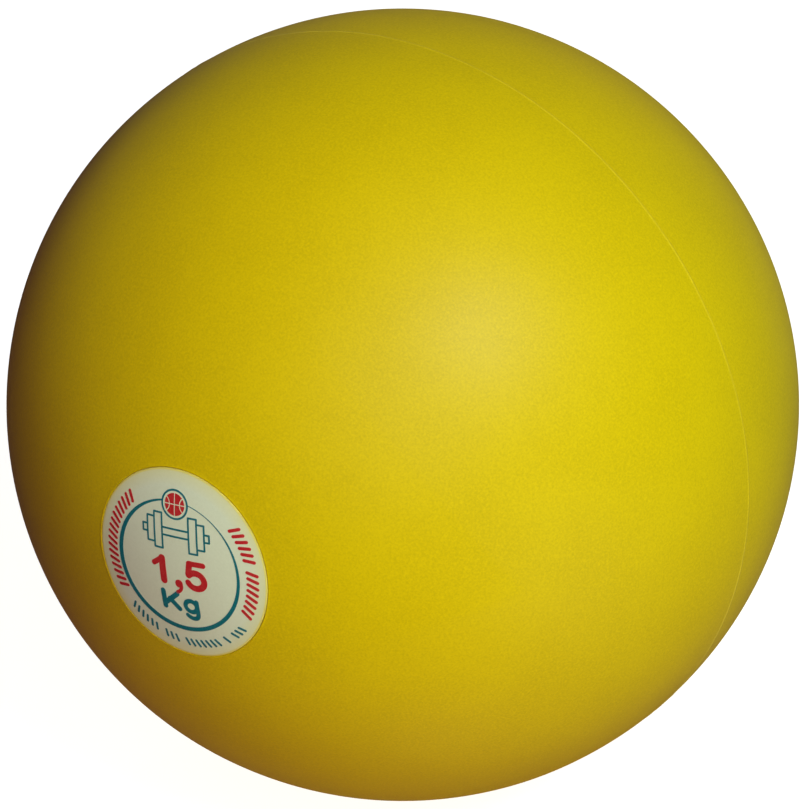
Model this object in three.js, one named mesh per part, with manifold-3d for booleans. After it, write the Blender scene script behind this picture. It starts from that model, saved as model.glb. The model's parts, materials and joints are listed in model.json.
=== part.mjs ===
// A soft weight ball: a thick soft-PVC skin filled with loose sand, with a needle valve in its back
// and a round printed label on its front.
//
// Millimetres, +Z up. The origin is the centre of the small flat that the soft skin makes where it
// rests on the floor. The label faces -Y and the valve faces +Y. The parting line is the great circle
// half way between them, in the XZ plane.

import * as THREE from "three";
import { mergeVertices } from "three/addons/utils/BufferGeometryUtils.js";
import Module from "manifold-3d";

const wasm = await Module();
wasm.setup();

// ---- Driving dimensions ----

// Skin
const BALL_RADIUS = 65;
const WALL = 3.5;
const FOOT_RADIUS = 15; // the flat under the ball's own weight
const GAP = 0.3; // clearance between pieces that touch

// Raised parting line
const PARTING_LINE_WIDTH = 0.7;
const PARTING_LINE_HEIGHT = 0.15;

// Label, measured along the skin, and the shallow seat that it lies in
const LABEL_RADIUS = 16.1;
const LABEL_THICKNESS = 0.3;

// Neck inside the skin, and the stepped bore through it
const NECK_RADIUS = 11;
const NECK_END = 52; // distance of the neck's inner end from the ball's centre
const NECK_FILLET = 1.5;
const BORE_RADIUS = 6;
const COUNTERBORE_RADIUS = 10;
const COUNTERBORE_CHAMFER = 0.8;

// Valve housing
const FLANGE_FACE = 63.6; // distance of the flange's outer face from the ball's centre
const FLANGE_THICKNESS = 1.3;
const BARB_RADIUS = 7.2;
const BARB_LENGTH = 3.2;
const BARB_FLAT = 0.7;
const SOCKET_RADIUS = 3.6;
const SOCKET_DEPTH = 7.2;
const NEEDLE_RADIUS = 1.5;
const SHOULDER_THICKNESS = 1.2;
const LIP_RADIUS = 2.4;
const LIP_THICKNESS = 0.8;

// Valve core and plug
const CORE_CHANNEL_RADIUS = 0.6;
const CORE_FUNNEL_RADIUS = 1.2;
const PLUG_HEAD_RADIUS = 6.5;
const PLUG_HEAD_EDGE = 0.65;
const PLUG_STEM_LENGTH = 6.6;
const PLUG_TIP_RADIUS = 2.4;
const PLUG_TIP_LENGTH = 1.2;
const NOTCH_RADIUS = 2.2; // thumbnail notch in the edge of the plug's head
const NOTCH_DEPTH = 1.2;

// Sand
const SAND_LEVEL = 31; // height of the sand's surface above the ball's centre
const SAND_GAP = 0.6; // clearance to the inside of the skin at every angle

// Smoothness: straight facets per full turn
const BALL_FACETS = 48;
const VALVE_FACETS = 32;
const SMALL_BREAK = 0.3; // broken edges on the valve pieces

// ---- Derived dimensions ----

const CENTRE_HEIGHT = Math.sqrt(BALL_RADIUS ** 2 - FOOT_RADIUS ** 2);
const CAVITY_RADIUS = BALL_RADIUS - WALL;
const SEAT_DEPTH = LABEL_THICKNESS + GAP;
const FLANGE_RADIUS = COUNTERBORE_RADIUS - GAP;
const FLANGE_UNDERSIDE = FLANGE_FACE - FLANGE_THICKNESS;
const COUNTERBORE_FLOOR = FLANGE_UNDERSIDE - GAP;
const SHANK_RADIUS = BORE_RADIUS - GAP;
const BARB_TOP = NECK_END - GAP;
const HOUSING_END = BARB_TOP - BARB_LENGTH;
const SOCKET_FLOOR = FLANGE_FACE - SOCKET_DEPTH;
const CHAMBER_TOP = SOCKET_FLOOR - SHOULDER_THICKNESS;
const CHAMBER_FLOOR = HOUSING_END + LIP_THICKNESS;

// ---- Geometry helpers ----

// Every round piece turns about the valve axis: x of a profile point is its distance from that axis,
// and y is its place along it.
function point(radius, along) {
  return new THREE.Vector2(radius, along);
}

// Points on a sphere round the ball's centre. Angle 0 is the label's pole and PI is the valve's.
function arc(radius, fromAngle, toAngle) {
  const steps = Math.max(1, Math.round((Math.abs(toAngle - fromAngle) / (2 * Math.PI)) * BALL_FACETS));
  const points = [];
  for (let step = 0; step <= steps; step += 1) {
    const angle = fromAngle + ((toAngle - fromAngle) * step) / steps;
    points.push(point(radius * Math.sin(angle), -radius * Math.cos(angle)));
  }
  points[0].x = Math.max(points[0].x, 0);
  return points;
}

// The same, with its last point exactly on the axis.
function arcToValvePole(radius, fromAngle) {
  const points = arc(radius, fromAngle, Math.PI);
  points[points.length - 1].x = 0;
  return points;
}

// Place along the axis where a sphere round the ball's centre has a given distance from the axis.
function alongSphere(sphereRadius, radius) {
  return Math.sqrt(sphereRadius ** 2 - radius ** 2);
}

function turned(profile, facets) {
  return new THREE.LatheGeometry(profile, facets);
}

function closedRing(profile, facets) {
  return turned([...profile, profile[0].clone()], facets);
}

function toSolid(geometry) {
  const bare = geometry.clone();
  bare.deleteAttribute("normal");
  bare.deleteAttribute("uv");
  const welded = mergeVertices(bare);
  const mesh = new wasm.Mesh({
    numProp: 3,
    vertProperties: Float32Array.from(welded.attributes.position.array),
    triVerts: Uint32Array.from(welded.index.array),
  });
  return new wasm.Manifold(mesh);
}

function toGeometry(solid) {
  const mesh = solid.getMesh();
  const geometry = new THREE.BufferGeometry();
  geometry.setAttribute("position", new THREE.BufferAttribute(mesh.vertProperties, 3));
  geometry.setIndex(new THREE.BufferAttribute(mesh.triVerts, 1));
  geometry.computeVertexNormals();
  return geometry;
}

// A block as wide as the ball that reaches up or down from a level.
function blockFrom(level, direction) {
  const size = 4 * BALL_RADIUS;
  const block = new THREE.BoxGeometry(size, size, size);
  block.translate(0, 0, level + (direction * size) / 2);
  return toSolid(block);
}

// ---- Skin ----

function skinOutline() {
  const seatAngle = (LABEL_RADIUS + GAP) / BALL_RADIUS;
  const lineAngle = PARTING_LINE_WIDTH / 2 / BALL_RADIUS;
  return [
    ...arc(BALL_RADIUS - SEAT_DEPTH, 0, seatAngle),
    ...arc(BALL_RADIUS, seatAngle, Math.PI / 2 - lineAngle),
    point(BALL_RADIUS + PARTING_LINE_HEIGHT, 0),
    ...arcToValvePole(BALL_RADIUS, Math.PI / 2 + lineAngle),
  ];
}

function cavityOutline() {
  const rootRadius = NECK_RADIUS + NECK_FILLET;
  const rootAngle = Math.PI - Math.asin(rootRadius / CAVITY_RADIUS);
  const rootAlong = alongSphere(CAVITY_RADIUS, rootRadius);
  return [
    ...arc(CAVITY_RADIUS, 0, rootAngle),
    point(NECK_RADIUS, rootAlong - NECK_FILLET),
    point(NECK_RADIUS, NECK_END),
    point(0, NECK_END),
  ];
}

function boreOutline() {
  const rim = alongSphere(BALL_RADIUS, COUNTERBORE_RADIUS);
  return [
    point(0, NECK_END - WALL),
    point(BORE_RADIUS, NECK_END - WALL),
    point(BORE_RADIUS, COUNTERBORE_FLOOR),
    point(COUNTERBORE_RADIUS, COUNTERBORE_FLOOR),
    point(COUNTERBORE_RADIUS, rim - COUNTERBORE_CHAMFER / 2),
    point(COUNTERBORE_RADIUS + COUNTERBORE_CHAMFER, rim + COUNTERBORE_CHAMFER / 2),
    point(COUNTERBORE_RADIUS + COUNTERBORE_CHAMFER, BALL_RADIUS + WALL),
    point(0, BALL_RADIUS + WALL),
  ];
}

function shellGeometry() {
  const floor = -CENTRE_HEIGHT;
  const outside = toSolid(turned(skinOutline(), BALL_FACETS)).subtract(blockFrom(floor, -1));
  const cavity = toSolid(turned(cavityOutline(), BALL_FACETS)).subtract(blockFrom(floor + WALL, -1));
  const bore = toSolid(turned(boreOutline(), VALVE_FACETS));
  return toGeometry(outside.subtract(cavity).subtract(bore));
}

// ---- Label ----

function labelGeometry() {
  const edgeAngle = LABEL_RADIUS / BALL_RADIUS;
  const face = arc(BALL_RADIUS, 0, edgeAngle);
  const back = arc(BALL_RADIUS - LABEL_THICKNESS, 0, edgeAngle).reverse();
  return turned([...face, ...back], BALL_FACETS);
}

// ---- Sand ----

// The sand turns about the valve axis as the ball rolls, so its outline clears the skin's flat foot
// at every angle and runs in a round socket round the neck and the housing's barb.
function sandOutline() {
  const sphere = CAVITY_RADIUS - SAND_GAP;
  const band = CENTRE_HEIGHT - WALL - SAND_GAP;
  const bandAngle = Math.asin(band / sphere);
  const socketRadius = NECK_RADIUS + SAND_GAP;
  const socketFloor = HOUSING_END - SAND_GAP;
  const rootRadius = socketRadius + NECK_FILLET;
  const rootAngle = Math.PI - Math.asin(rootRadius / sphere);
  const rootAlong = alongSphere(sphere, rootRadius);
  return [
    ...arc(sphere, 0, bandAngle),
    ...arc(sphere, Math.PI - bandAngle, rootAngle),
    point(socketRadius, rootAlong - NECK_FILLET - SAND_GAP),
    point(socketRadius, socketFloor),
    point(0, socketFloor),
  ];
}

function sandGeometry() {
  const heap = toSolid(turned(sandOutline(), BALL_FACETS));
  return toGeometry(heap.subtract(blockFrom(SAND_LEVEL, 1)));
}

// ---- Valve ----

function housingGeometry() {
  const profile = [
    point(LIP_RADIUS, HOUSING_END),
    point(SHANK_RADIUS - SMALL_BREAK, HOUSING_END),
    point(BARB_RADIUS, BARB_TOP - BARB_FLAT),
    point(BARB_RADIUS, BARB_TOP),
    point(SHANK_RADIUS, BARB_TOP),
    point(SHANK_RADIUS, FLANGE_UNDERSIDE),
    point(FLANGE_RADIUS, FLANGE_UNDERSIDE),
    point(FLANGE_RADIUS, FLANGE_FACE - SMALL_BREAK),
    point(FLANGE_RADIUS - SMALL_BREAK, FLANGE_FACE),
    point(SOCKET_RADIUS + SMALL_BREAK, FLANGE_FACE),
    point(SOCKET_RADIUS, FLANGE_FACE - SMALL_BREAK),
    point(SOCKET_RADIUS, SOCKET_FLOOR),
    point(NEEDLE_RADIUS, SOCKET_FLOOR),
    point(NEEDLE_RADIUS, CHAMBER_TOP),
    point(SOCKET_RADIUS, CHAMBER_TOP),
    point(SOCKET_RADIUS, CHAMBER_FLOOR),
    point(LIP_RADIUS, CHAMBER_FLOOR),
  ];
  return closedRing(profile, VALVE_FACETS);
}

function coreGeometry() {
  const bottom = CHAMBER_FLOOR + GAP;
  const top = CHAMBER_TOP - GAP;
  const radius = SOCKET_RADIUS - GAP;
  const profile = [
    point(CORE_CHANNEL_RADIUS, bottom),
    point(radius - SMALL_BREAK, bottom),
    point(radius, bottom + SMALL_BREAK),
    point(radius, top - SMALL_BREAK),
    point(radius - SMALL_BREAK, top),
    point(CORE_FUNNEL_RADIUS, top),
    point(CORE_CHANNEL_RADIUS, top - CORE_FUNNEL_RADIUS),
  ];
  return closedRing(profile, VALVE_FACETS);
}

// The head's crown follows the ball, so that the closed plug is flush with the skin.
function plugGeometry() {
  const seat = FLANGE_FACE + GAP;
  const tip = seat - PLUG_STEM_LENGTH;
  const stemRadius = SOCKET_RADIUS - GAP;
  const crownAngle = Math.PI - Math.asin(PLUG_HEAD_RADIUS / BALL_RADIUS);
  const profile = [
    point(0, tip),
    point(PLUG_TIP_RADIUS, tip),
    point(stemRadius, tip + PLUG_TIP_LENGTH),
    point(stemRadius, seat),
    point(PLUG_HEAD_RADIUS, seat),
    point(PLUG_HEAD_RADIUS, seat + PLUG_HEAD_EDGE),
    ...arcToValvePole(BALL_RADIUS, crownAngle).slice(1),
  ];
  const plug = toSolid(turned(profile, VALVE_FACETS));
  const notch = new THREE.CylinderGeometry(NOTCH_RADIUS, NOTCH_RADIUS, WALL, VALVE_FACETS);
  notch.translate(0, seat, PLUG_HEAD_RADIUS + NOTCH_RADIUS - NOTCH_DEPTH);
  return toGeometry(plug.subtract(toSolid(notch)));
}

// ---- Materials ----

function material(color, roughness) {
  return new THREE.MeshStandardMaterial({ color, roughness, metalness: 0 });
}

const SOFT_YELLOW = 0xd8c400;
const LABEL_CREAM = 0xd3d2b4;
const SAND_BUFF = 0xc2a878;
const PLUG_WHITE = 0xdcd8c6;
const CORE_BLACK = 0x1c1c1c;

// ---- Assembly ----

function addPiece(parent, name, geometry, look) {
  const mesh = new THREE.Mesh(geometry, look);
  mesh.name = name;
  parent.add(mesh);
}

const weightBall = new THREE.Group();
weightBall.name = "weight_ball";

const ball = new THREE.Group();
ball.position.z = CENTRE_HEIGHT;
weightBall.add(ball);

addPiece(ball, "shell", shellGeometry(), material(SOFT_YELLOW, 0.5));
addPiece(ball, "sand_fill", sandGeometry(), material(SAND_BUFF, 0.95));
addPiece(ball, "valve_housing", housingGeometry(), material(SOFT_YELLOW, 0.55));
addPiece(ball, "valve_core", coreGeometry(), material(CORE_BLACK, 0.8));
addPiece(ball, "valve_plug", plugGeometry(), material(PLUG_WHITE, 0.45));
addPiece(ball, "label", labelGeometry(), material(LABEL_CREAM, 0.4));

export default weightBall;
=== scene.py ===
"""A soft sand-filled weight ball on a pale floor: its skin, printed label, valve and sand.

Every length is in metres, or in millimetres times MM. The round pieces turn about the valve axis, which
runs along Y through the ball's centre: the label is at its -Y end and the valve at its +Y end.
"""

import json
import math

import bpy
import numpy as np
from mathutils import Matrix, Vector, noise
from mathutils.geometry import delaunay_2d_cdt


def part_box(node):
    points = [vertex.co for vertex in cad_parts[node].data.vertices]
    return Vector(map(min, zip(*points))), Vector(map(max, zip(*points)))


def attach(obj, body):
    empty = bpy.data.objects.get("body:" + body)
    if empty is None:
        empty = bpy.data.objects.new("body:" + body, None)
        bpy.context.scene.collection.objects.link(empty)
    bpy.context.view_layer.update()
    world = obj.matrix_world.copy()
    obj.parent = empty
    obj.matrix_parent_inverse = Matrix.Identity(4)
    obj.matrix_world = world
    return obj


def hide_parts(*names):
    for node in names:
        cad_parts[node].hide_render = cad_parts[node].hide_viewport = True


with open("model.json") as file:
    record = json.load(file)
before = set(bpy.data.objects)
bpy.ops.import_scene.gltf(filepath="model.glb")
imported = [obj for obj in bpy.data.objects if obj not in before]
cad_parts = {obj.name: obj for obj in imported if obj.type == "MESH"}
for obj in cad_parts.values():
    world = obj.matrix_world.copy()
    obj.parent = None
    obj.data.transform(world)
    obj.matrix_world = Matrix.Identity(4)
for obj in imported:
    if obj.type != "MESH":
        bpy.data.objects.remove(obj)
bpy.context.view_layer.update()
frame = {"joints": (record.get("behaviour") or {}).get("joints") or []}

# ---- Sizes, from the frame where it holds them ----

MM = 0.001
CENTRE = Vector(next(j["pos_m"] for j in frame["joints"] if j["name"] == "sand_roll"))
RADIUS = -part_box("label")[0].y
WALL = 3.5 * MM
CAVITY_RADIUS = RADIUS - WALL

LABEL_ARC = RADIUS * math.asin(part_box("label")[1].x / RADIUS)
LABEL_THICKNESS = 0.3 * MM
LABEL_PROUD = 0.02 * MM
LABEL_ROLL = math.radians(5.0)
SEAT_CLEARANCE = 0.05 * MM
SEAT_DEPTH = 0.33 * MM

OVAL_WIDTH = 0.985  # the soft ball draws the round label into a slight oval
OVAL_HEIGHT = 1.0175
OVAL_SHIFT = Vector((-0.2, 0, -0.17)) * MM
OVAL_REACH = 0.7  # radians from the label's middle, where the stretch has faded out

LINE_PLACE = 0.25 * MM  # the mould's parting line, along the valve axis from the ball's centre
LINE_HALF_WIDTH = 0.3 * MM
LINE_HEIGHT = 0.062 * MM
FOOT_BLEND = 0.5 * MM  # how softly the skin bends into the flat that it rests on
FOOT_REACH = 14 * MM
SWELL_HEIGHT = 0.03 * MM
SWELL_LENGTH = 14 * MM

FLANGE_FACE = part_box("valve_housing")[1].y
FLANGE_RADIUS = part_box("valve_housing")[1].x
HOUSING_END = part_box("valve_housing")[0].y
COUNTERBORE_RADIUS = 10.0 * MM
COUNTERBORE_FLOOR = 62.0 * MM
BORE_RADIUS = 6.0 * MM
NECK_RADIUS = 11.0 * MM
NECK_END = 52.0 * MM

AROUND = 440  # facets round the skin
AROUND_LABEL = 192
AROUND_VALVE = 128


# ---- Mesh helpers ----

def add_object(name, vertices, faces, material, smooth=True):
    mesh = bpy.data.meshes.new(name)
    mesh.from_pydata([tuple(v) for v in vertices], [], faces)
    mesh.validate()
    mesh.update()
    if smooth:
        mesh.shade_smooth()
    else:
        mesh.shade_flat()
    mesh.materials.append(material)
    piece = bpy.data.objects.new(name, mesh)
    bpy.context.scene.collection.objects.link(piece)
    return piece


def turn(profile, around):
    """Vertices and faces of a profile of (distance from the axis, place along it), turned about the axis.

    A profile point on the axis becomes one vertex. A profile that starts off the axis closes on itself.
    """
    rows = []
    vertices = []
    angles = [2 * math.pi * k / around for k in range(around)]
    for radius, along in profile:
        if radius < 1e-9:
            rows.append([len(vertices)] * around)
            vertices.append((0.0, along, 0.0))
            continue
        rows.append(list(range(len(vertices), len(vertices) + around)))
        vertices.extend((radius * math.sin(a), along, radius * math.cos(a)) for a in angles)
    if profile[0][0] > 1e-9:
        rows.append(rows[0])
    faces = []
    for low, high in zip(rows, rows[1:]):
        for k in range(around):
            n = (k + 1) % around
            corners = []
            for corner in (low[k], low[n], high[n], high[k]):
                if corner not in corners:
                    corners.append(corner)
            if len(corners) > 2:
                faces.append(corners)
    return np.array(vertices), faces


def along_sphere(sphere, radius):
    return math.sqrt(sphere * sphere - radius * radius)


def sphere_rows(radius, start, stop, step):
    """Profile points on a sphere, from angle start to stop (0 is the label's pole), stop left out."""
    count = max(1, round(abs(stop - start) / step))
    angles = [start + (stop - start) * k / count for k in range(count)]
    return [(radius * math.sin(a), -radius * math.cos(a)) for a in angles]


def corner_rows(centre, radius, start, stop, count):
    """Profile points of a round edge: an arc about centre, angles from the outward direction."""
    angles = [start + (stop - start) * k / count for k in range(count + 1)]
    return [(centre[0] + radius * math.cos(a), centre[1] + radius * math.sin(a)) for a in angles]


def swell(direction):
    """The soft skin's slight waviness at a unit direction from the ball's centre."""
    return SWELL_HEIGHT * noise.noise(direction * (RADIUS / SWELL_LENGTH))


def stretched(spoke):
    """Moves a point near the label along the skin, so that a circle there becomes the label's oval."""
    distance = spoke.length
    polar = math.acos(max(-1.0, min(1.0, -spoke.y / distance)))
    held = LABEL_ARC / RADIUS
    share = 1 - max(0.0, min(1.0, (polar - held) / (OVAL_REACH - held)))
    share = share * share * (3 - 2 * share)
    x = spoke.x * (1 + (OVAL_WIDTH - 1) * share) + OVAL_SHIFT.x * share * distance / RADIUS
    z = spoke.z * (1 + (OVAL_HEIGHT - 1) * share) + OVAL_SHIFT.z * share * distance / RADIUS
    depth = math.sqrt(max(distance * distance - x * x - z * z, 0.0))
    return Vector((x, math.copysign(depth, spoke.y), z))


# ---- Skin ----

def skin_profile():
    """The skin's closed outline: outside from the label's seat to the neck, then back along the inside."""
    step = math.radians(1.25)
    seat_angle = (LABEL_ARC + SEAT_CLEARANCE) / RADIUS
    floor = RADIUS - SEAT_DEPTH
    rows = sphere_rows(floor, 0, seat_angle, 2 * step)
    lip = [(0.0, -0.33), (0.0, -0.15), (0.01, -0.05), (0.04, 0.01), (0.09, 0.035), (0.16, 0.05),
           (0.24, 0.04), (0.32, 0.015), (0.42, 0.0)]
    for out, height in lip:
        angle = seat_angle + out * MM / RADIUS
        sphere = RADIUS + height * MM
        rows.append((sphere * math.sin(angle), -sphere * math.cos(angle)))
    middle = math.pi / 2 + LINE_PLACE / RADIUS
    reach = 1.5 * LINE_HALF_WIDTH / RADIUS
    rows += sphere_rows(RADIUS, angle + step / 4, middle - reach, step)
    rows += sphere_rows(RADIUS, middle - reach, middle + reach, reach / 9)
    edge = 0.4 * MM
    rim_radius = COUNTERBORE_RADIUS + 1.5 * edge
    rim_angle = math.pi - math.asin(rim_radius / RADIUS)
    rows += sphere_rows(RADIUS, middle + reach, rim_angle, step)
    rim_along = along_sphere(RADIUS, rim_radius)
    rows += corner_rows((rim_radius, rim_along - edge), edge, math.pi / 2, math.pi, 6)
    rows += [(COUNTERBORE_RADIUS, rim_along - 2 * edge), (COUNTERBORE_RADIUS, COUNTERBORE_FLOOR)]
    rows += [(BORE_RADIUS, COUNTERBORE_FLOOR), (BORE_RADIUS, NECK_END)]
    rows += [(NECK_RADIUS - edge, NECK_END), (NECK_RADIUS, NECK_END + edge)]
    root = 1.5 * MM
    rows += [(NECK_RADIUS, along_sphere(CAVITY_RADIUS, NECK_RADIUS) - root)]
    root_angle = math.pi - math.asin((NECK_RADIUS + root) / CAVITY_RADIUS)
    rows += sphere_rows(CAVITY_RADIUS, root_angle, 0, 3 * step)
    rows.append((0.0, -CAVITY_RADIUS))
    return rows


def settle(height, rest):
    """Lifts a height smoothly so that it never goes below rest, as the skin flattens on the floor."""
    above = height - rest
    return rest + (above + math.sqrt(above * above + FOOT_BLEND * FOOT_BLEND)) / 2


def line_height(direction):
    """The parting line's uneven height at a unit direction from the ball's centre."""
    gaps = noise.noise(direction * 24)
    crumbs = noise.noise(direction * 90)
    ragged = 0.8 + 0.9 * gaps + 0.6 * crumbs
    return LINE_HEIGHT * max(0.15, min(1.4, ragged))


def make_skin(material):
    vertices, faces = turn(skin_profile(), AROUND)
    settled_foot = settle(CENTRE.z - RADIUS, 0.0)
    shaped = []
    for x, y, z in vertices:
        spoke = Vector((x, y, z))
        distance = spoke.length
        outside = distance > RADIUS - 0.1 * MM
        direction = spoke / distance
        if outside:
            offset = abs(y - LINE_PLACE) / LINE_HALF_WIDTH
            line = line_height(direction) * math.exp(-(offset ** 2) * 2.2)
            spoke = direction * (distance + swell(direction) + line)
        if y < 0 and distance > CAVITY_RADIUS + WALL / 2:
            spoke = stretched(spoke)
        point = CENTRE + spoke
        if point.z < FOOT_REACH:
            if distance > CAVITY_RADIUS + WALL / 2:
                near_foot = min(1.0, 1 - point.z / FOOT_REACH)
                point.z = settle(point.z, 0.0) - settled_foot * near_foot
            else:
                point.z = settle(point.z, WALL)
        shaped.append(point)
    lowest = min(p.z for p in shaped)
    for point in shaped:
        point.z -= lowest
    return add_object("ball_skin", shaped, faces, material)


# ---- Label ----

def on_label(right, up, height):
    """The place on the ball of a point of the label's flat layout, and a height above the skin."""
    reach = math.hypot(right, up)
    turn_angle = math.atan2(up, right) + LABEL_ROLL
    polar = reach / RADIUS
    direction = Vector((math.sin(polar) * math.cos(turn_angle), -math.cos(polar),
                        math.sin(polar) * math.sin(turn_angle)))
    return CENTRE + direction * (RADIUS + height + swell(direction))


def make_label(material):
    edge = [(-0.45, 0.02), (-0.2, 0.02), (-0.1, 0.015), (-0.05, 0.0), (-0.015, -0.03), (0.0, -0.08),
            (0.0, -0.28), (-0.05, -0.3)]
    rows = [(LABEL_ARC * k / 24, LABEL_PROUD) for k in range(24)]
    rows += [(LABEL_ARC + out * MM, height * MM) for out, height in edge]
    rows += [(LABEL_ARC * k / 8, -LABEL_THICKNESS) for k in range(7, -1, -1)]
    vertices = []
    rings = []
    for reach, height in rows:
        if reach < 1e-9:
            rings.append([len(vertices)] * AROUND_LABEL)
            vertices.append(on_label(0, 0, height))
            continue
        rings.append(list(range(len(vertices), len(vertices) + AROUND_LABEL)))
        for k in range(AROUND_LABEL):
            a = 2 * math.pi * k / AROUND_LABEL
            vertices.append(on_label(reach * math.cos(a), reach * math.sin(a), height))
    vertices = [CENTRE + stretched(v - CENTRE) for v in vertices]
    faces = []
    for inner, outer in zip(rings, rings[1:]):
        for k in range(AROUND_LABEL):
            n = (k + 1) % AROUND_LABEL
            corners = []
            for corner in (inner[k], outer[k], outer[n], inner[n]):
                if corner not in corners:
                    corners.append(corner)
            if len(corners) > 2:
                faces.append(corners)
    return add_object("label_disc", vertices, faces, material)


# ---- Print on the label: flat shapes in millimetres, cut out and wrapped onto the ball ----

INK_FOOT = 0.0
INK_TOP = 0.05
SAMPLE = 0.2  # the longest step along an outline
PITCH = 0.7  # between the points inside a shape
EMBLEM_CENTRE = (-0.09, 10.5)
EMBLEM_CLEARING = 2.4


def line(start, end):
    count = max(1, math.ceil(math.dist(start, end) / SAMPLE))
    return [(start[0] + (end[0] - start[0]) * k / count, start[1] + (end[1] - start[1]) * k / count)
            for k in range(count + 1)]


def oval(centre, across, high, start, stop):
    start, stop = math.radians(start), math.radians(stop)
    count = max(8, math.ceil(abs(stop - start) * max(across, high) / SAMPLE))
    angles = [start + (stop - start) * k / count for k in range(count + 1)]
    return [(centre[0] + across * math.cos(a), centre[1] + high * math.sin(a)) for a in angles]


def bend(a, b, c, d):
    """A cubic curve from a to d."""
    count = 14
    points = []
    for k in range(count + 1):
        t = k / count
        s = 1 - t
        weighed = list(zip((s ** 3, 3 * s * s * t, 3 * s * t * t, t ** 3), (a, b, c, d)))
        points.append(tuple(sum(w * p[i] for w, p in weighed) for i in (0, 1)))
    return points


def disc(centre, radius):
    return oval(centre, radius, radius, 0, 360)[:-1]


def stroke(path, width):
    """The outline of a pen stroke of that width with round ends, along a path that doesn't turn sharply."""
    half = width / 2
    points = [Vector(p) for p in path]
    left, right = [], []
    for i, p in enumerate(points):
        way = (points[min(i + 1, len(points) - 1)] - points[max(i - 1, 0)]).normalized()
        side = Vector((-way.y, way.x)) * half
        left.append(p + side)
        right.append(p - side)

    def cap(centre, start):
        """Half a turn clockwise from the start point about the end of the pen stroke."""
        spoke = start - centre
        return [centre + Matrix.Rotation(-math.pi * k / 8, 2) @ spoke for k in range(1, 8)]

    return left + cap(points[-1], left[-1]) + right[::-1] + cap(points[0], right[0])


def cut_out(shapes, holes=()):
    """Triangles of the union of flat shapes less the holes, with inner points so that they wrap well."""
    points, faces = [], []
    for outline in [*shapes, *holes]:
        outline = [Vector((p[0], p[1])) for p in outline]
        if sum(a.cross(b) for a, b in zip(outline, outline[1:] + outline[:1])) < 0:
            outline.reverse()
        faces.append(list(range(len(points), len(points) + len(outline))))
        points.extend(outline)
    low = [min(p[i] for p in points) for i in (0, 1)]
    high = [max(p[i] for p in points) for i in (0, 1)]
    for i in range(int((high[0] - low[0]) / PITCH) + 1):
        for j in range(int((high[1] - low[1]) / PITCH) + 1):
            points.append(Vector((low[0] + (i + 0.5 * (j % 2)) * PITCH, low[1] + j * PITCH)))
    flat, _, triangles, _, _, origin = delaunay_2d_cdt(points, [], faces, 1, 1e-5, True)
    kept = []
    for triangle, sources in zip(triangles, origin):
        if any(s < len(shapes) for s in sources) and not any(s >= len(shapes) for s in sources):
            kept.append(list(triangle))
    return flat, kept


def make_print(name, material, shapes, holes=()):
    flat, triangles = cut_out(shapes, holes)
    used = sorted({v for t in triangles for v in t})
    place = {v: i for i, v in enumerate(used)}
    count = len(used)
    top = [on_label(flat[v].x * MM, flat[v].y * MM, INK_TOP * MM) for v in used]
    foot = [on_label(flat[v].x * MM, flat[v].y * MM, INK_FOOT) for v in used]
    faces = []
    edges = {}
    for triangle in triangles:
        a, b, c = (flat[v] for v in triangle)
        if (b - a).cross(c - a) < 0:
            triangle = triangle[::-1]
        corners = [place[v] for v in triangle]
        faces.append(corners)
        faces.append([v + count for v in corners[::-1]])
        for start, end in zip(corners, corners[1:] + corners[:1]):
            edges[(start, end)] = True
    for start, end in edges:
        if (end, start) not in edges:
            faces.append([start, start + count, end + count, end])
    return add_object(name, top + foot, faces, material, smooth=False)


def ring_shapes():
    """The big ring: a broad band, broadest at the left, that thins to a hairline at the upper right."""
    x, y = -0.37, -0.1
    radius = 11.15
    thinnest = fading = math.radians(68)
    hairline, band = 0.14, 0.80
    outer, inner = [], []
    for k in range(360):
        a = math.radians(k)
        away = math.remainder(a - thinnest, 2 * math.pi)
        fullness = 1 - math.exp(-(away / fading) ** 2)
        half = (hairline + (band - hairline) * fullness) * (1 - 0.12 * math.cos(a)) / 2
        for edge, reach in ((outer, radius + half), (inner, radius - half)):
            edge.append((x + reach * math.cos(a), y + reach * math.sin(a)))
    return [outer], [inner, disc(EMBLEM_CENTRE, EMBLEM_CLEARING)]


def emblem_shapes():
    """A small ball with its panel lines."""
    x, y = EMBLEM_CENTRE
    pen = 0.18
    seams = [stroke(line((x, y - 2), (x, y + 2)), pen), stroke(line((x - 2, y), (x + 2, y)), pen)]
    seams += [stroke(oval((x + side * 2.05, y), 1.1, 1.3, 90, 90 + side * 180), pen) for side in (-1, 1)]
    return [disc((x, y), 1.85)], seams


def dumbbell_shapes():
    """The outline of a dumbbell: a bar, and on each side a big plate, a small plate and the bar's end."""
    pen = 0.32
    x, y = -0.1, 5.75
    shapes = []

    def box(left, right, half_height):
        corners = [(x + left, y - half_height), (x + right, y - half_height),
                   (x + right, y + half_height), (x + left, y + half_height)]
        for start, end in zip(corners, corners[1:] + corners[:1]):
            shapes.append(stroke(line(start, end), pen))

    box(-2.5, 2.5, 0.62)
    for side in (-1, 1):
        for near, far, half_height in ((2.5, 4.0, 2.95), (4.0, 5.35, 2.1), (5.35, 6.25, 0.62)):
            box(side * near, side * far, half_height)
    return shapes


def figures_shapes():
    """The figures 1,5 in a round-ended pen."""
    return [
        stroke(line((-3.0, 0.98), (-3.0, -2.86)), 1.26),
        stroke(line((-2.85, 1.12), (-4.66, -0.12)), 0.9),
        disc((-0.14, -2.95), 0.72),
        stroke(bend((0.25, -3.0), (0.36, -3.8), (-0.05, -4.25), (-0.6, -4.5)), 0.62),
        stroke(line((2.1, 1.05), (4.7, 1.05)), 0.92),
        stroke(line((2.2, 0.98), (1.86, -0.85)), 1.1),
        stroke(oval((3.12, -1.86), 1.55, 1.35, 142, -158), 1.1),
    ]


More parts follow.
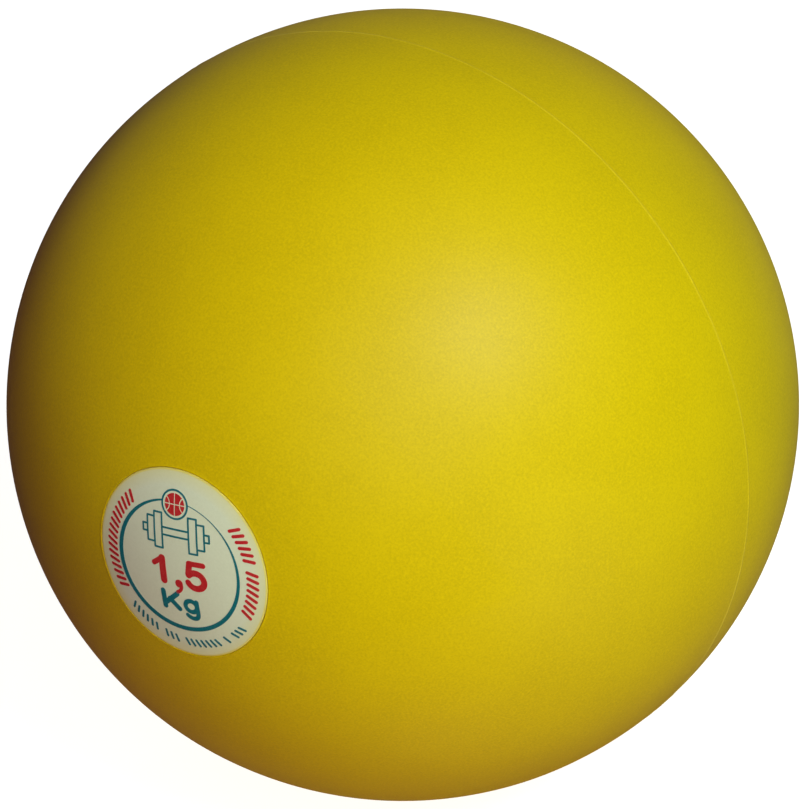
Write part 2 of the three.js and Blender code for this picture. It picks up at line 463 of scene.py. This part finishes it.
def unit_shapes():
    """The unit kg in a round-ended pen."""
    return [
        stroke(line((-3.52, -4.86), (-3.52, -7.62)), 0.96),
        stroke(line((-3.1, -6.8), (-0.8, -4.9)), 0.86),
        stroke(line((-2.35, -6.1), (-0.78, -7.64)), 0.92),
        stroke(oval((1.55, -6.76), 1.06, 1.0, 0, 180), 0.8),
        stroke(oval((1.55, -6.76), 1.06, 1.0, 180, 360), 0.8),
        stroke(line((2.66, -5.8), (2.66, -8.0)), 0.82),
        stroke(bend((2.66, -7.9), (2.75, -9.2), (1.3, -9.2), (0.62, -8.5)), 0.78),
    ]


def hatch(start, stop, count, inner, outer, pen, lean, skipped=()):
    """Slanting ticks along an arc of the label's margin, with gaps."""
    shapes = []
    for k in range(count):
        if k in skipped:
            continue
        angle = math.radians(start + (stop - start) * k / (count - 1))
        slant = math.radians(lean)
        foot = (inner * math.cos(angle - slant), inner * math.sin(angle - slant))
        head = (outer * math.cos(angle + slant), outer * math.sin(angle + slant))
        shapes.append(stroke(line(foot, head), pen))
    return shapes


# ---- Valve ----

def make_turned(name, profile, around, material):
    vertices, faces = turn(profile, around)
    return add_object(name, [CENTRE + Vector(v) for v in vertices], faces, material)


def rounded(profile, breaks):
    """A profile with its listed corners rounded: breaks gives each corner's index and radius in mm."""
    points = [Vector(p) for p in profile]
    result = []
    for i, p in enumerate(points):
        radius = breaks.get(i)
        if radius is None:
            result.append(tuple(p))
            continue
        back = (points[i - 1] - p).normalized() * radius * MM
        ahead = (points[(i + 1) % len(points)] - p).normalized() * radius * MM
        for k in range(6):
            t = k / 5
            result.append(tuple(p + back * (1 - t) ** 2 + ahead * t ** 2))
    return result


def make_housing(material):
    """The grommet: flange and shank, with the stopper's socket in front and the insert's chamber behind."""
    face, end = FLANGE_FACE, HOUSING_END
    underside = face - 1.3 * MM
    shank, socket, needle = 5.7 * MM, 3.6 * MM, 1.5 * MM
    barb = 7.2 * MM
    barb_top = NECK_END - 0.3 * MM
    socket_floor = face - 7.2 * MM
    chamber_top = socket_floor - 1.2 * MM
    lip = 2.4 * MM
    profile = [
        (lip, end), (shank - 0.3 * MM, end), (barb, barb_top - 0.7 * MM), (barb, barb_top),
        (shank, barb_top), (shank, underside), (FLANGE_RADIUS, underside), (FLANGE_RADIUS, face),
        (socket, face), (socket, socket_floor), (needle, socket_floor), (needle, chamber_top),
        (socket, chamber_top), (socket, end + 0.8 * MM), (lip, end + 0.8 * MM),
    ]
    breaks = {1: 0.3, 2: 0.4, 3: 0.15, 6: 0.2, 7: 0.4, 8: 0.5, 9: 0.3, 10: 0.3}
    return make_turned("valve_grommet", rounded(profile, breaks), AROUND_VALVE, material)


def make_core(material):
    low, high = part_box("valve_core")
    radius = high.x
    channel, funnel = 0.6 * MM, 1.2 * MM
    profile = [
        (channel, low.y), (radius, low.y), (radius, high.y), (funnel, high.y), (channel, high.y - funnel),
    ]
    breaks = {1: 0.3, 2: 0.3, 3: 0.2, 4: 0.3}
    return make_turned("valve_insert", rounded(profile, breaks), AROUND_VALVE, material)


def make_plug(material):
    """The stopper: a stem and a flush head with a thumb notch in its edge."""
    low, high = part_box("valve_plug")
    head = high.x
    stem, tip = 3.3 * MM, 2.4 * MM
    seat = FLANGE_FACE + 0.3 * MM
    profile = [
        (0.0, low.y), (tip, low.y), (stem, low.y + 1.2 * MM), (stem, seat), (head, seat),
        (head, seat + 0.65 * MM),
    ]
    crown = math.asin(head / RADIUS)
    for k in range(1, 13):
        angle = crown * (1 - k / 12)
        profile.append((RADIUS * math.sin(angle), RADIUS * math.cos(angle)))
    vertices, faces = turn(rounded(profile, {1: 0.4, 2: 0.5, 4: 0.15, 5: 0.3}), AROUND_VALVE)
    bite_radius, bite_depth = 2.2 * MM, 1.2 * MM
    bite = Vector((0.0, head + bite_radius - bite_depth))
    shaped = []
    for x, y, z in vertices:
        flat = Vector((x, z))
        away = flat - bite
        if y > seat - 0.01 * MM and flat.length > stem and away.length < bite_radius and z > 0:
            half = math.sqrt(max(bite_radius ** 2 - x * x, 0.0))
            flat = Vector((x, bite.y - half))
        shaped.append(CENTRE + Vector((flat.x, y, flat.y)))
    return add_object("valve_stopper", shaped, faces, material)


# ---- Sand ----

def make_sand(material):
    """A ball of sand with a band that clears the skin's flat, a socket for the neck and an uneven top."""
    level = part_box("sand_fill")[1].z - CENTRE.z
    gap = 0.6 * MM
    sphere = CAVITY_RADIUS - gap
    band = CENTRE.z - WALL - gap
    step = math.radians(3)
    socket = NECK_RADIUS + gap
    root = 1.5 * MM
    band_angle = math.asin(band / sphere)
    root_angle = math.pi - math.asin((socket + root) / sphere)
    profile = sphere_rows(sphere, 0, band_angle, step)
    half_band = along_sphere(sphere, band)
    profile += [(band, -half_band + half_band * k / 6) for k in range(12)]
    profile += sphere_rows(sphere, math.pi - band_angle, root_angle, step)
    root_along = along_sphere(sphere, socket + root)
    profile += [(socket + root, root_along), (socket, root_along - root), (socket, HOUSING_END - gap)]
    profile += [(socket * k / 4, HOUSING_END - gap) for k in (3, 2, 1, 0)]
    vertices, faces = turn(profile, 160)
    shaped = []
    for v in vertices:
        p = Vector(v)
        ripple = 0.5 * MM * noise.noise(Vector((p.x, p.y, 0)) * 120) - 0.5 * MM
        p.z = min(p.z, level + ripple)
        shaped.append(CENTRE + p)
    return add_object("sand_heap", shaped, faces, material)


# ---- Materials ----

class Look:
    """A Principled material that is built up with noise nodes in the object's own coordinates."""

    def __init__(self, name, **values):
        self.material = bpy.data.materials.new(name)
        self.material.use_nodes = True
        self.tree = self.material.node_tree
        self.shader = self.tree.nodes["Principled BSDF"]
        for socket, value in values.items():
            self.shader.inputs[socket.replace("_", " ")].default_value = value
        self.place = self.tree.nodes.new("ShaderNodeTexCoord").outputs["Object"]

    def link(self, out, into):
        self.tree.links.new(out, into)

    def noise(self, size, detail=3.0, roughness=0.55):
        node = self.tree.nodes.new("ShaderNodeTexNoise")
        node.inputs["Scale"].default_value = 1 / size
        node.inputs["Detail"].default_value = detail
        node.inputs["Roughness"].default_value = roughness
        self.link(self.place, node.inputs["Vector"])
        return node.outputs["Fac"]

    def remap(self, value, low, high, to_low, to_high):
        node = self.tree.nodes.new("ShaderNodeMapRange")
        node.inputs["From Min"].default_value = low
        node.inputs["From Max"].default_value = high
        node.inputs["To Min"].default_value = to_low
        node.inputs["To Max"].default_value = to_high
        self.link(value, node.inputs["Value"])
        return node.outputs["Result"]

    def math(self, operation, a, b=None):
        node = self.tree.nodes.new("ShaderNodeMath")
        node.operation = operation
        for socket, value in zip(node.inputs, (a, b)):
            if value is None:
                continue
            if isinstance(value, (int, float)):
                socket.default_value = value
            else:
                self.link(value, socket)
        return node.outputs[0]

    def vector(self, operation, a, b=None):
        node = self.tree.nodes.new("ShaderNodeVectorMath")
        node.operation = operation
        self.link(a, node.inputs[0])
        if b is not None:
            node.inputs[1].default_value = b
        return node.outputs["Value" if operation == "LENGTH" else "Vector"]

    def mix(self, factor, a, b):
        node = self.tree.nodes.new("ShaderNodeMix")
        node.data_type = "RGBA"
        self.link(factor, node.inputs["Factor"])
        for socket, value in ((node.inputs["A"], a), (node.inputs["B"], b)):
            if isinstance(value, tuple):
                socket.default_value = (*value, 1.0)
            else:
                self.link(value, socket)
        return node.outputs["Result"]

    def colour(self, out):
        self.link(out, self.shader.inputs["Base Color"])

    def roughness(self, out):
        self.link(out, self.shader.inputs["Roughness"])

    def bump(self, layers):
        """Stacks bumps: each layer is a height output, its depth in metres and its strength."""
        normal = None
        for height, depth, strength in layers:
            node = self.tree.nodes.new("ShaderNodeBump")
            node.inputs["Distance"].default_value = depth
            node.inputs["Strength"].default_value = strength
            self.link(height, node.inputs["Height"])
            if normal is not None:
                self.link(normal, node.inputs["Normal"])
            normal = node.outputs["Normal"]
        self.link(normal, self.shader.inputs["Normal"])

    def axis(self, letter):
        node = self.tree.nodes.new("ShaderNodeSeparateXYZ")
        self.link(self.place, node.inputs[0])
        return node.outputs[letter]


def skin_material():
    """Satin yellow PVC with a fine grain and broad soft patches; the parting line is painted paler, partly
    the flash's own paler colour and partly a painted highlight that fades from the lower part of the ball
    toward its top.
    """
    sheen = {"Sheen_Weight": 0.03, "Sheen_Roughness": 0.5}
    look = Look("soft_pvc_yellow", IOR=1.5, Specular_IOR_Level=0.2, **sheen)
    look.shader.inputs["Sheen Tint"].default_value = (0.25, 0.3, 1.0, 1)
    grain = look.noise(0.35 * MM, 3.0, 0.6)
    patch = look.remap(look.noise(16 * MM, 2.0), 0.35, 0.65, 0, 1)
    base = look.mix(patch, (0.735, 0.562, 0.0005), (0.705, 0.533, 0.0005))
    dark = look.mix(patch, (0.665, 0.503, 0.0005), (0.635, 0.484, 0.0005))
    light = look.mix(look.remap(grain, 0.5, 0.72, 0, 1), base, (0.79, 0.61, 0.001))
    grained = look.mix(look.remap(grain, 0.3, 0.5, 0, 1), dark, light)
    # Painted highlight on the parting line: pale yellow mixed in along the line, partly the flash's own
    # colour, strong where X + Z is low and faint toward the top and the +X side.
    off_line = look.math("ABSOLUTE", look.math("SUBTRACT", look.axis("Y"), LINE_PLACE))
    on_line = look.remap(off_line, 0.06 * MM, 0.42 * MM, 1.0, 0.0)
    across = look.math("ADD", look.axis("X"), look.axis("Z"))
    faint_from, faint_to = CENTRE.z + 0.45 * RADIUS, CENTRE.z + 1.0 * RADIUS
    line_highlight = look.remap(across, faint_from, faint_to, 0.55, 0.09)
    look.colour(look.mix(look.math("MULTIPLY", on_line, line_highlight), grained, (0.92, 0.80, 0.12)))
    look.roughness(look.remap(look.noise(22 * MM, 4.0), 0.3, 0.7, 0.40, 0.46))
    look.bump([
        (look.noise(2.4 * MM, 2.0), 0.02 * MM, 0.35),
        (grain, 0.02 * MM, 0.6),
    ])
    return look.material


def label_material():
    """Cream vinyl that is stained yellow toward its rim."""
    look = Look("label_vinyl_cream", IOR=1.48)
    fibre = look.noise(0.5 * MM, 4.0, 0.6)
    paper = look.mix(look.remap(fibre, 0.3, 0.7, 0, 1), (0.84, 0.95, 0.69), (0.80, 0.91, 0.65))
    edge_radius = RADIUS * math.sin(LABEL_ARC / RADIUS)
    flat = look.vector("SUBTRACT", look.place, tuple(CENTRE + OVAL_SHIFT))
    flat = look.vector("MULTIPLY", flat, (1 / OVAL_WIDTH, 0, 1 / OVAL_HEIGHT))
    reach = look.vector("LENGTH", flat)
    stain = look.remap(reach, edge_radius - 2.6 * MM, edge_radius - 0.3 * MM, 0, 0.5)
    stained = look.mix(stain, paper, (0.86, 0.84, 0.30))
    rim = look.remap(reach, edge_radius - 0.42 * MM, edge_radius - 0.15 * MM, 0, 1)
    look.colour(look.mix(rim, stained, (0.87, 0.80, 0.17)))
    look.roughness(look.remap(look.noise(6 * MM, 3.0), 0.3, 0.7, 0.36, 0.44))
    look.bump([(fibre, 0.01 * MM, 0.35)])
    return look.material


def ink_material(name, colour, faded):
    look = Look(name, IOR=1.48)
    wear = look.noise(0.6 * MM, 4.0, 0.65)
    look.colour(look.mix(look.remap(wear, 0.45, 0.75, 0, 0.6), colour, faded))
    look.roughness(look.remap(wear, 0.3, 0.7, 0.3, 0.4))
    look.bump([(wear, 0.006 * MM, 0.3)])
    return look.material


def rubber_material(name, colour, lighter, rough):
    look = Look(name, IOR=1.5)
    cloud = look.noise(3 * MM, 4.0)
    look.colour(look.mix(look.remap(cloud, 0.35, 0.7, 0, 1), colour, lighter))
    look.roughness(look.remap(cloud, 0.3, 0.7, rough - 0.05, rough + 0.05))
    look.bump([(look.noise(0.3 * MM, 3.0), 0.01 * MM, 0.4)])
    return look.material


def sand_material():
    look = Look("dry_sand", IOR=1.5)
    grains = look.tree.nodes.new("ShaderNodeTexVoronoi")
    grains.inputs["Scale"].default_value = 1 / (0.45 * MM)
    look.link(look.place, grains.inputs["Vector"])
    tint = look.remap(grains.outputs["Color"], 0.2, 0.8, 0, 1)
    look.colour(look.mix(tint, (0.62, 0.47, 0.26), (0.42, 0.28, 0.13)))
    look.roughness(look.remap(grains.outputs["Distance"], 0, 0.6, 0.75, 0.95))
    look.bump([(grains.outputs["Distance"], 0.2 * MM, 0.8)])
    return look.material


def floor_material():
    look = Look("pale_floor", Roughness=0.9)
    tone = look.noise(0.3, 2.0)
    look.colour(look.mix(tone, (0.50, 0.50, 0.50), (0.47, 0.47, 0.47)))
    look.shader.inputs["Emission Color"].default_value = (0.985, 1, 0.985, 1)
    look.shader.inputs["Emission Strength"].default_value = 0.92
    return look.material


# ---- Pieces ----

def make_prints():
    """All the ink on the label, in its two colours."""
    red = ink_material("ink_red", (0.60, 0.022, 0.026), (0.66, 0.08, 0.07))
    teal = ink_material("ink_teal", (0.005, 0.18, 0.21), (0.04, 0.27, 0.29))
    left = hatch(207, 131, 17, 12.6, 14.2, 0.56, -1.3)
    right = hatch(37, -30, 15, 12.45, 14.05, 0.56, -1.3, skipped=(6,))
    foot = hatch(222, 317, 24, 13.4, 14.5, 0.42, 0.9, skipped=(6, 10, 18, 20))
    emblem_ring = [disc(EMBLEM_CENTRE, 2.52)], [disc(EMBLEM_CENTRE, 2.19)]
    return [
        make_print("print_ring", teal, *ring_shapes()),
        make_print("print_emblem_ring", teal, *emblem_ring),
        make_print("print_emblem", red, *emblem_shapes()),
        make_print("print_dumbbell", teal, dumbbell_shapes()),
        make_print("print_figures", red, figures_shapes()),
        make_print("print_unit", teal, unit_shapes()),
        make_print("print_hatch_left", red, left),
        make_print("print_hatch_right", red, right),
        make_print("print_hatch_foot", teal, foot),
    ]


def fit(piece, body, node=None):
    """Gives a piece its body, and hides the frame node that it takes the place of, if one is named."""
    if node is not None:
        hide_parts(node)
    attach(piece, body)


def build_ball():
    skin = make_skin(skin_material())
    fit(skin, "ball", "shell")
    fit(make_label(label_material()), "ball", "label")
    for ink in make_prints():
        fit(ink, "ball")
    grommet = rubber_material("grommet_rubber", (0.66, 0.52, 0.008), (0.72, 0.58, 0.02), 0.55)
    fit(make_housing(grommet), "ball", "valve_housing")
    insert = rubber_material("insert_rubber", (0.018, 0.018, 0.018), (0.035, 0.034, 0.032), 0.6)
    fit(make_core(insert), "ball", "valve_core")
    plastic = rubber_material("stopper_plastic", (0.70, 0.67, 0.56), (0.76, 0.74, 0.64), 0.4)
    fit(make_plug(plastic), "plug", "valve_plug")
    fit(make_sand(sand_material()), "fill", "sand_fill")


# ---- Stage, camera and lights ----

VIEW_AZIMUTH = math.radians(32.55)
VIEW_ELEVATION = math.radians(27.45)
VIEW_DISTANCE = 13.956 * RADIUS
BALL_SHARE = 0.9799  # the ball's outline, as a share of the image's width
SENSOR = 36.0
SHIFT_RIGHT = 0.00087
SHIFT_UP = 0.0003

FLOOR_RADIUS = 2.6
WALL_BEND = 1.4  # radius of the curve from the floor up to the wall
WALL_TOP = 3.2
LIGHT_DISTANCE = 1.2


def view_axes():
    """The camera's right and up directions, and the direction from the ball to the camera."""
    toward = Vector((math.sin(VIEW_AZIMUTH) * math.cos(VIEW_ELEVATION),
                     -math.cos(VIEW_AZIMUTH) * math.cos(VIEW_ELEVATION), math.sin(VIEW_ELEVATION)))
    right = Vector((math.cos(VIEW_AZIMUTH), math.sin(VIEW_AZIMUTH), 0.0))
    return right, toward.cross(right), toward


def from_view(right, up, toward, distance):
    """A place at that distance from the ball's centre, in a direction given along the camera's axes."""
    way = sum((axis * share for axis, share in zip(view_axes(), (right, up, toward))), Vector())
    return CENTRE + way.normalized() * distance


def aim(thing, target):
    thing.rotation_euler = (target - thing.location).to_track_quat("-Z", "Y").to_euler()


def make_camera():
    data = bpy.data.cameras.new("camera")
    camera = bpy.data.objects.new("camera", data)
    bpy.context.scene.collection.objects.link(camera)
    camera.location = from_view(0, 0, 1, VIEW_DISTANCE)
    aim(camera, CENTRE)
    outline = math.tan(math.asin(RADIUS / VIEW_DISTANCE))
    data.sensor_width = SENSOR
    data.lens = SENSOR * BALL_SHARE / 2 / outline
    data.shift_x = SHIFT_RIGHT
    data.shift_y = SHIFT_UP
    data.clip_start = 0.05
    data.clip_end = 30
    bpy.context.scene.camera = camera


def make_stage():
    """A wide floor whose far edge curves up into a pale wall all round."""
    profile = [(FLOOR_RADIUS * k / 12, 0.0) for k in range(13)]
    bends = [math.radians(90 * k / 16) for k in range(1, 17)]
    profile += [(FLOOR_RADIUS + WALL_BEND * math.sin(a), WALL_BEND * (1 - math.cos(a))) for a in bends]
    profile.append((FLOOR_RADIUS + WALL_BEND, WALL_TOP))
    vertices, faces = turn([(r, -h) for r, h in profile], 96)
    upright = [(x, -z, -y) for x, y, z in vertices]
    floor = add_object("floor", upright, faces, floor_material())
    floor.visible_diffuse = False
    floor.visible_glossy = False
    floor.visible_shadow = False


def area_light(name, right, up, toward, size, power, colour, shine=False):
    """A round softbox aimed at the ball from a direction given along the camera's axes.

    Only a light with shine is mirrored in the skin's gloss.
    """
    data = bpy.data.lights.new(name, "AREA")
    data.shape = "DISK"
    data.size = size
    data.energy = power
    data.color = colour
    light = bpy.data.objects.new(name, data)
    bpy.context.scene.collection.objects.link(light)
    light.location = from_view(right, up, toward, LIGHT_DISTANCE)
    aim(light, CENTRE)
    light.visible_camera = False
    light.visible_glossy = shine


def make_lights():
    area_light("key", 0.356, 0.338, 0.870, 0.5, 8.88, (0.81, 1, 0.91), shine=True)
    area_light("front", 0, 0, 1, 1.0, 6.46, (1, 0.73, 0.70))
    area_light("low_right", 0.6, -0.6, 0.53, 0.8, 2.92, (0.64, 1, 0.62))
    area_light("low", 0.15, -1, -0.2, 0.5, 3.3, (1, 0.45, 0.34))
    area_light("low_far", 0.7, -0.7, 0.05, 0.8, 0.94, (1, 0.8, 0.66))
    area_light("back", 0, 0, -1, 0.15, 11.0, (1, 0.97, 0.9))
    area_light("back_low", 0.115, -0.65, -0.75, 0.3, 1.03, (1, 0.8, 0.6))
    area_light("back_high", 0.33, 0.57, -0.75, 0.3, 3.68, (1, 0.8, 0.6))
    area_light("back_right", 0.64, 0.17, -0.75, 0.3, 0.78, (1, 0.8, 0.6))
    world = bpy.data.worlds.new("world")
    bpy.context.scene.world = world
    world.use_nodes = True
    background = world.node_tree.nodes["Background"]
    background.inputs["Color"].default_value = (1, 0.4, 0.9, 1)
    background.inputs["Strength"].default_value = 0.04
    bpy.context.scene.view_settings.view_transform = "Standard"


make_camera()
build_ball()
make_stage()
make_lights()
